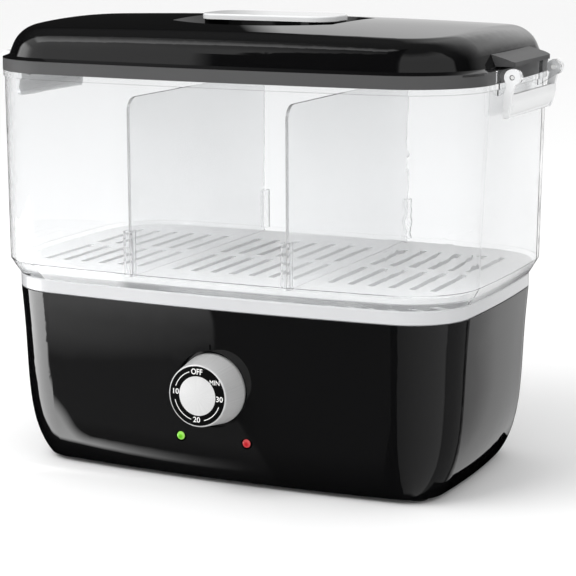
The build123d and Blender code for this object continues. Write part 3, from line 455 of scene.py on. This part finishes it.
def silver_paint(name, dark, light, roughness, streak_scale):
    """Silver paint over plastic, with faint marks that run out from the knob's axis."""
    material, tree, shader = new_material(name)
    centred = tree.nodes.new("ShaderNodeMapping")
    link(tree, surface_coordinates(tree), (centred, "Vector"))
    centred.inputs["Location"].default_value = (0.0, 0.0, -knob_z)
    across, _, up = split_axes(tree, (centred, 0))
    around = math_node(tree, "MULTIPLY", math_node(tree, "ARCTAN2", across, up), streak_scale)
    streaks = tree.nodes.new("ShaderNodeTexNoise")
    streaks.noise_dimensions = "1D"
    streaks.inputs["Scale"].default_value = 1.0
    streaks.inputs["Detail"].default_value = 3.0
    link(tree, around, (streaks, "W"))
    flakes = tree.nodes.new("ShaderNodeTexNoise")
    flakes.inputs["Scale"].default_value = 2600.0
    link(tree, (centred, 0), (flakes, "Vector"))
    contrast = 2.0
    both = math_node(tree, "MULTIPLY", (streaks, "Fac"), (flakes, "Fac"))
    mask = math_node(tree, "MULTIPLY", both, contrast, clamp=True)
    link(tree, mix_colours(tree, mask, dark, light), (shader, "Base Color"))
    link(tree, between(tree, (streaks, "Fac"), *roughness), (shader, "Roughness"))
    shader.inputs["Metallic"].default_value = 0.25
    bumped(tree, shader, (flakes, "Fac"), 2e-6)
    return material


satin_silver = silver_paint("satin_silver", (0.66, 0.66, 0.66), (0.76, 0.76, 0.76),
                            roughness=(0.28, 0.36), streak_scale=20.0)
cap_silver = silver_paint("cap_silver", (0.74, 0.74, 0.74), (0.82, 0.82, 0.82),
                          roughness=(0.28, 0.36), streak_scale=5.0)
finish_nodes(satin_silver, "timer_knob")
finish_nodes(cap_silver, "knob_cap")
dial_black = moulded_plastic("dial_black", (0.002, 0.002, 0.002), (0.003, 0.003, 0.003),
                             roughness=(0.3, 0.4), cloud_scale=60.0, grain_scale=2000.0,
                             depth=2e-6, Specular_IOR_Level=0.12)
finish_nodes(dial_black, "dial_ring")
white_ink = moulded_plastic("white_ink", (0.80, 0.80, 0.79), (0.88, 0.88, 0.87),
                            roughness=(0.4, 0.5), cloud_scale=300.0, grain_scale=4000.0,
                            depth=3e-6)

ink_thick = 0.00004
lettering_radius, capital_share = 0.0150, 0.72
upright = Matrix.Rotation(pi / 2, 4, "X")
weld_reach = 1e-7


def dial_place(turned, radius):
    """A point of the dial at an angle in degrees clockwise from the top."""
    return Vector((radius * sin(radians(turned)), dial_front - ink_thick / 2,
                   knob_z + radius * cos(radians(turned))))


# A row has the word, its angle, the height of its capitals, how wide it is drawn, and how much
# bolder its strokes are
for word, turned, height, width, bold in (
        ("OFF", -1.0, 0.0036, 0.88, 0.00009), ("MIN", 52.0, 0.0031, 0.92, 0.00002),
        ("30", 93.0, 0.0034, 1.04, 0.00006), ("20", 182.0, 0.0034, 1.04, 0.00006),
        ("10", 276.0, 0.0034, 1.04, 0.00006)):
    lettering = bpy.data.curves.new("lettering", "FONT")
    lettering.body = word
    lettering.size = height / capital_share
    lettering.align_x, lettering.align_y = "CENTER", "CENTER"
    lettering.offset = bold
    lettering.extrude = ink_thick / 2
    lettering.resolution_u = 4
    drawn = bpy.data.objects.new("lettering", lettering)
    scene.collection.objects.link(drawn)
    mesh = bpy.data.meshes.new_from_object(drawn)
    bpy.data.objects.remove(drawn)
    shape = bmesh.new()
    shape.from_mesh(mesh)
    bmesh.ops.remove_doubles(shape, verts=shape.verts, dist=weld_reach)
    shape.to_mesh(mesh)
    shape.free()
    mesh.shade_flat()
    stood_up = upright @ Matrix.Diagonal((width, 1, 1, 1))
    mesh.transform(Matrix.Translation(dial_place(turned, lettering_radius)) @ stood_up)
    new_piece("dial_" + word.lower(), mesh, "knob", white_ink)


def open_tree(name, sizes):
    """A geometry node tree with one input for each size, its input node and their identifiers."""
    tree = bpy.data.node_groups.new(name, "GeometryNodeTree")
    tree.interface.new_socket("Geometry", in_out="OUTPUT", socket_type="NodeSocketGeometry")
    identifiers = {}
    for size, value in sizes.items():
        socket = tree.interface.new_socket(size, in_out="INPUT", socket_type="NodeSocketFloat")
        socket.default_value = value
        identifiers[size] = socket.identifier
    return tree, tree.nodes.new("NodeGroupInput"), identifiers


def close_tree(tree, geometry, material):
    """End a geometry node tree in real geometry with one material."""
    realize = tree.nodes.new("GeometryNodeRealizeInstances")
    inked = tree.nodes.new("GeometryNodeSetMaterial")
    inked.inputs["Material"].default_value = material
    out_of = tree.nodes.new("NodeGroupOutput")
    link(tree, geometry, (realize, 0))
    link(tree, (realize, 0), (inked, 0))
    link(tree, (inked, 0), (out_of, 0))


def tree_mesh(tree, identifiers, name, sizes):
    """The plain mesh that a geometry node tree makes with these sizes."""
    maker = bpy.data.objects.new("maker", bpy.data.meshes.new("maker"))
    scene.collection.objects.link(maker)
    modifier = maker.modifiers.new("nodes", "NODES")
    modifier.node_group = tree
    for size, value in sizes.items():
        modifier[identifiers[size]] = value
    bpy.context.view_layer.update()
    made = bpy.data.meshes.new_from_object(maker.evaluated_get(bpy.context.evaluated_depsgraph_get()))
    made.name = name
    bpy.data.objects.remove(maker)
    return made


# Three thin arcs of the scale. A row has the angles where an arc starts and stops, clockwise
# from the top. The tree measures anticlockwise from +X.
arc_tree, into, arc_inputs = open_tree("scale_arc", {
    "Radius": 0.0155, "Start": 0.0, "Sweep": 1.0, "Line width": 0.0005, "Line depth": ink_thick})
arc = arc_tree.nodes.new("GeometryNodeCurveArc")
arc.mode = "RADIUS"
arc.inputs["Resolution"].default_value = 40
section = arc_tree.nodes.new("GeometryNodeCurvePrimitiveQuadrilateral")
swept = arc_tree.nodes.new("GeometryNodeCurveToMesh")
swept.inputs["Fill Caps"].default_value = True
link(arc_tree, (into, "Radius"), (arc, "Radius"))
link(arc_tree, (into, "Start"), (arc, "Start Angle"))
link(arc_tree, (into, "Sweep"), (arc, "Sweep Angle"))
link(arc_tree, (into, "Line width"), (section, "Width"))
link(arc_tree, (into, "Line depth"), (section, "Height"))
link(arc_tree, (arc, "Curve"), (swept, "Curve"))
link(arc_tree, (section, 0), (swept, "Profile Curve"))
close_tree(arc_tree, (swept, 0), white_ink)
for name, start, stop in (("arc_upper_left", 289.0, 340.0), ("arc_lower_left", 196.0, 257.0),
                          ("arc_lower_right", 111.0, 163.0)):
    mesh = tree_mesh(arc_tree, arc_inputs, name,
                     {"Start": radians(90.0 - stop), "Sweep": radians(stop - start)})
    mesh.transform(Matrix.Translation(dial_place(0.0, 0.0)) @ upright)
    new_piece(name, mesh, "knob", white_ink)

# Lamp board: a small glass-fibre board under green solder mask, screwed to posts behind the
# front wall, that carries the two lights. The block where the cord's wires end is white nylon.
solder_mask = moulded_plastic("solder_mask", (0.015, 0.11, 0.04), (0.03, 0.2, 0.07),
                              roughness=(0.25, 0.4), cloud_scale=300.0, grain_scale=1500.0,
                              depth=1e-5)
finish_nodes(solder_mask, "lamp_board")
finish_nodes(zinc, "board_screws")
finish_nodes(gloss_white, "terminal_block")

# Lamps: two acrylic lenses with domed fronts, each in a thin black collar. The board's lights show deep
# in their middles, and a painted highlight makes the domes paler round them, most on the upper left.


def turned_mesh(name, profile, centre, steps=48):
    """A solid turned about an axis along Y, from (radius, y) points that start and end on it."""
    shape = bmesh.new()
    rings = []
    for radius, y in profile:
        if radius == 0:
            rings.append([shape.verts.new((centre.x, y, centre.z))])
            continue
        rings.append([shape.verts.new((centre.x + radius * cos(2 * pi * k / steps), y,
                                       centre.z + radius * sin(2 * pi * k / steps)))
                      for k in range(steps)])
    for near, far in zip(rings, rings[1:]):
        for k in range(steps):
            following = (k + 1) % steps
            corners = [near[k % len(near)], near[following % len(near)],
                       far[following % len(far)], far[k % len(far)]]
            shape.faces.new(list(dict.fromkeys(corners)))
    bmesh.ops.remove_doubles(shape, verts=shape.verts, dist=weld_reach)
    bmesh.ops.recalc_face_normals(shape, faces=shape.faces)
    mesh = bpy.data.meshes.new(name)
    shape.to_mesh(mesh)
    shape.free()
    mesh.shade_smooth()
    return mesh


def lamp_material(name, rim, middle, glow, painted_highlight, light_at):
    """Tinted acrylic that glows from behind, with a painted highlight that makes it paler round the
    light.
    """
    highlight_start, highlight_width = 0.0008, 0.0011
    material, tree, shader = new_material(name)
    facing = tree.nodes.new("ShaderNodeLayerWeight")
    facing.inputs["Blend"].default_value = 0.35
    texture = moulded_texture(tree, 900.0, 900.0)
    link(tree, mix_colours(tree, (texture, "Cloud"), rim, middle), (shader, "Base Color"))
    apart = tree.nodes.new("ShaderNodeVectorMath")
    apart.operation = "DISTANCE"
    link(tree, surface_coordinates(tree), (apart, 0))
    apart.inputs[1].default_value = light_at
    # Painted highlight: the glow turns paler with distance from the light
    beyond = math_node(tree, "SUBTRACT", (apart, "Value"), highlight_start)
    highlight_share = math_node(tree, "DIVIDE", beyond, highlight_width, clamp=True)
    glow_and_highlight = mix_colours(tree, highlight_share, glow, painted_highlight)
    link(tree, mix_colours(tree, (facing, "Facing"), glow_and_highlight, rim), (shader, "Emission Color"))
    shader.inputs["Emission Strength"].default_value = 0.6
    link(tree, between(tree, (texture, "Cloud"), 0.08, 0.14), (shader, "Roughness"))
    return material


lens_radius, dome_depth, tip_proud, dome_step = 0.0027, 0.0016, 0.0003, 10
flange_from_back, flange_thick = 0.0050, 0.0012
# The light sits a little to the lower right, so the painted highlight is widest on the upper left
light_aside = 0.0003
# The collar's section: how far each point is out from the lens and in from the wall's face
wall_behind_lens = 0.0012
collar_section = ((0.00003, 0.001), (0.00003, -0.0002), (0.0004, -0.00042), (0.0010, -0.0001),
                  (0.0010, 0.001), (0.00003, 0.001))
# A row has the plastic's colour at the rim and in the middle, the light's, and the painted highlight's
lens_looks = {
    "green": ((0.05, 0.28, 0.005), (0.12, 0.50, 0.01), (0.09, 0.28, 0.01), (0.50, 0.75, 0.22)),
    "red": ((0.22, 0.005, 0.008), (0.50, 0.012, 0.02), (0.28, 0.007, 0.011), (0.52, 0.12, 0.12))}
for colour, looks in lens_looks.items():
    node = colour + "_lamp_lens"
    lens_low, lens_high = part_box(node)
    centre = (lens_low + lens_high) / 2
    tip_y = lens_low.y - tip_proud
    profile = [(lens_radius * sin(radians(a)), tip_y + dome_depth * (1 - cos(radians(a))))
               for a in range(0, 91, dome_step)]
    flange, flange_y = (lens_high.x - lens_low.x) / 2, lens_high.y - flange_from_back
    profile += [(lens_radius, flange_y), (flange, flange_y), (flange, flange_y + flange_thick),
                (lens_radius, flange_y + flange_thick), (lens_radius, lens_high.y), (0.0, lens_high.y)]
    light_at = (centre.x + light_aside, tip_y, centre.z - light_aside)
    lens = new_piece(colour + "_lens_domed", turned_mesh(node, profile, centre), "base",
                     lamp_material(colour + "_acrylic", *looks, light_at))
    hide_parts(node)
    # The black collar is partly a real thin ring and partly painted shade of the gap between lens and
    # hole
    wall_y = lens_low.y + wall_behind_lens
    collar_and_gap_shade = [(lens_radius + out, wall_y + back) for out, back in collar_section]
    new_piece(colour + "_collar_and_gap_shade", turned_mesh(colour + "_collar_and_gap_shade", collar_and_gap_shade, centre), "base",
              black_and_painted_shade)

# Steam bin: one clear styrene moulding that stands in the reservoir's ring, water-clear with a
# slight ripple from the mould. The slotted plate that lies on its ledge and the two dividers
# that slide in between its rails are of the same plastic.


def clear_plastic(name, tint, roughness, ripple, clearness):
    """Clear plastic that lets shadows through, with a slow ripple in its surface."""
    palest, shadow_tint = (0.975, 0.98, 0.985), (0.97, 0.97, 0.97, 1.0)
    material, tree, shader = new_material(name)
    texture = moulded_texture(tree, 26.0, 60.0)
    link(tree, mix_colours(tree, (texture, "Cloud"), tint, palest), (shader, "Base Color"))
    link(tree, between(tree, (texture, "Cloud"), *roughness), (shader, "Roughness"))
    bumped(tree, shader, (texture, "Grain"), ripple)
    shader.inputs["Transmission Weight"].default_value = clearness
    shader.inputs["IOR"].default_value = 1.45
    see_through = tree.nodes.new("ShaderNodeBsdfTransparent")
    see_through.inputs["Color"].default_value = shadow_tint
    ray = tree.nodes.new("ShaderNodeLightPath")
    pick = tree.nodes.new("ShaderNodeMixShader")
    link(tree, (ray, "Is Shadow Ray"), (pick, 0))
    link(tree, (shader, 0), (pick, 1))
    link(tree, (see_through, 0), (pick, 2))
    link(tree, (pick, 0), (tree.nodes["Material Output"], "Surface"))
    return material


bin_plastic = clear_plastic("bin_plastic", (0.955, 0.96, 0.965),
                            roughness=(0.006, 0.02), ripple=1.2e-6, clearness=0.97)
grid_plastic = clear_plastic("grid_plastic", (0.93, 0.935, 0.94),
                             roughness=(0.15, 0.25), ripple=4e-6, clearness=0.35)
divider_plastic = clear_plastic("divider_plastic", (0.93, 0.935, 0.94),
                                roughness=(0.006, 0.02), ripple=1.2e-6, clearness=0.82)
finish_nodes(bin_plastic, "steam_bin")
finish_nodes(grid_plastic, "floor_grid")
finish_nodes(divider_plastic, "divider_left", "divider_right")

# End handles: white moulded bails, each hinged on two nickel-plated pins that are pressed
# through the bin's lugs. They hang down at rest and swing out to lift the bin.
handle_white = moulded_plastic("handle_white", (0.78, 0.785, 0.79), (0.83, 0.835, 0.84),
                               roughness=(0.14, 0.22), cloud_scale=22.0, grain_scale=700.0,
                               depth=2e-6)
finish_nodes(handle_white, "right_handle", "left_handle")
nickel = moulded_plastic("nickel", (0.84, 0.84, 0.83), (0.94, 0.94, 0.93),
                         roughness=(0.25, 0.35), cloud_scale=700.0, grain_scale=5000.0,
                         depth=2e-6, Metallic=0.1)
finish_nodes(nickel, "handle_pins")

# A thin black ring round each pin's outer end, as painted shade of the gap between the pin and its
# hole, round the bright button of the pin's end
gap_shade_tree, into, gap_shade_inputs = open_tree("pin_gap_shade_rings", {
    "Half length": 0.1733, "Height": 0.2584, "Outer face": 0.0430, "Middle y": 0.004,
    "Ring radius": 0.00155, "Ring thickness": 0.00035})
pin_ends = gap_shade_tree.nodes.new("GeometryNodeMeshGrid")
pin_ends.inputs["Vertices X"].default_value = 2
pin_ends.inputs["Vertices Y"].default_value = 2
link(gap_shade_tree, math_node(gap_shade_tree, "MULTIPLY", (into, "Half length"), 2.0), (pin_ends, "Size X"))
link(gap_shade_tree, math_node(gap_shade_tree, "MULTIPLY", (into, "Outer face"), 2.0), (pin_ends, "Size Y"))
lifted = gap_shade_tree.nodes.new("GeometryNodeSetPosition")
offset = gap_shade_tree.nodes.new("ShaderNodeCombineXYZ")
link(gap_shade_tree, (into, "Middle y"), (offset, "Y"))
link(gap_shade_tree, (into, "Height"), (offset, "Z"))
link(gap_shade_tree, (pin_ends, "Mesh"), (lifted, "Geometry"))
link(gap_shade_tree, (offset, 0), (lifted, "Offset"))
torus = gap_shade_tree.nodes.new("GeometryNodeCurveToMesh")
for size, resolution, socket in (("Ring radius", 28, "Curve"), ("Ring thickness", 8, "Profile Curve")):
    circle = gap_shade_tree.nodes.new("GeometryNodeCurvePrimitiveCircle")
    circle.inputs["Resolution"].default_value = resolution
    link(gap_shade_tree, (into, size), (circle, "Radius"))
    link(gap_shade_tree, (circle, "Curve"), (torus, socket))
facing_out = gap_shade_tree.nodes.new("GeometryNodeTransform")
facing_out.inputs["Rotation"].default_value = (pi / 2, 0, 0)
link(gap_shade_tree, (torus, "Mesh"), (facing_out, "Geometry"))
placed = gap_shade_tree.nodes.new("GeometryNodeInstanceOnPoints")
link(gap_shade_tree, (lifted, "Geometry"), (placed, "Points"))
link(gap_shade_tree, (facing_out, "Geometry"), (placed, "Instance"))
close_tree(gap_shade_tree, (placed, "Instances"), black_and_painted_shade)
pin_radius, ring_proud = 0.0015, 0.0001
pins_low, pins_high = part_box("handle_pins")
mesh = tree_mesh(gap_shade_tree, gap_shade_inputs, "pin_gap_shade_rings", {
    "Half length": (pins_high.x - pins_low.x) / 2 - pin_radius,
    "Height": (pins_low.z + pins_high.z) / 2,
    "Outer face": (pins_high.y - pins_low.y) / 2 + ring_proud, "Middle y": middle_y})
new_piece("pin_gap_shade_rings", mesh, "bin", black_and_painted_shade)

# Lid: one black moulding with the bar's pedestals and the recess for the fingers in it, polished
# above and satin on its straight band. The satin visors at its ends cover the bin's lugs.
band_height, band_edge, satin_rise = 0.0079, 0.0002, 0.42
band_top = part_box("lid_shell")[0].z + band_height
lid_black, tree, shader = new_material("lid_black")
texture = moulded_texture(tree, 12.0, 1400.0)
up = split_axes(tree, surface_coordinates(tree))[2]
below = math_node(tree, "SUBTRACT", band_top, up)
on_band = math_node(tree, "DIVIDE", below, band_edge, clamp=True)
polished = mix_colours(tree, (texture, "Cloud"), (0.0022, 0.0022, 0.0024), (0.0034, 0.0034, 0.0036))
satin = mix_colours(tree, (texture, "Cloud"), (0.066, 0.066, 0.067), (0.080, 0.080, 0.081))
link(tree, mix_colours(tree, on_band, polished, satin), (shader, "Base Color"))
shine = between(tree, (texture, "Cloud"), 0.02, 0.045)
dulled = math_node(tree, "MULTIPLY", on_band, satin_rise)
link(tree, math_node(tree, "ADD", shine, dulled), (shader, "Roughness"))
grain_height = math_node(tree, "MULTIPLY", (texture, "Grain"), on_band)
bumped(tree, shader, grain_height, 1.2e-5)
finish_nodes(lid_black, "lid_shell")
satin_black = moulded_plastic("satin_black", (0.060, 0.060, 0.061), (0.074, 0.074, 0.075),
                              roughness=(0.42, 0.5), cloud_scale=12.0, grain_scale=1400.0,
                              depth=1.2e-5)
finish_nodes(satin_black, "lid_tongues")

# Grip bar: a white moulded plate on two pegs that stand on the lid's pedestals. Plated steel
# screws from inside the lid hold it down.
finish_nodes(handle_white, "lid_handle")
finish_nodes(zinc, "lid_screws")
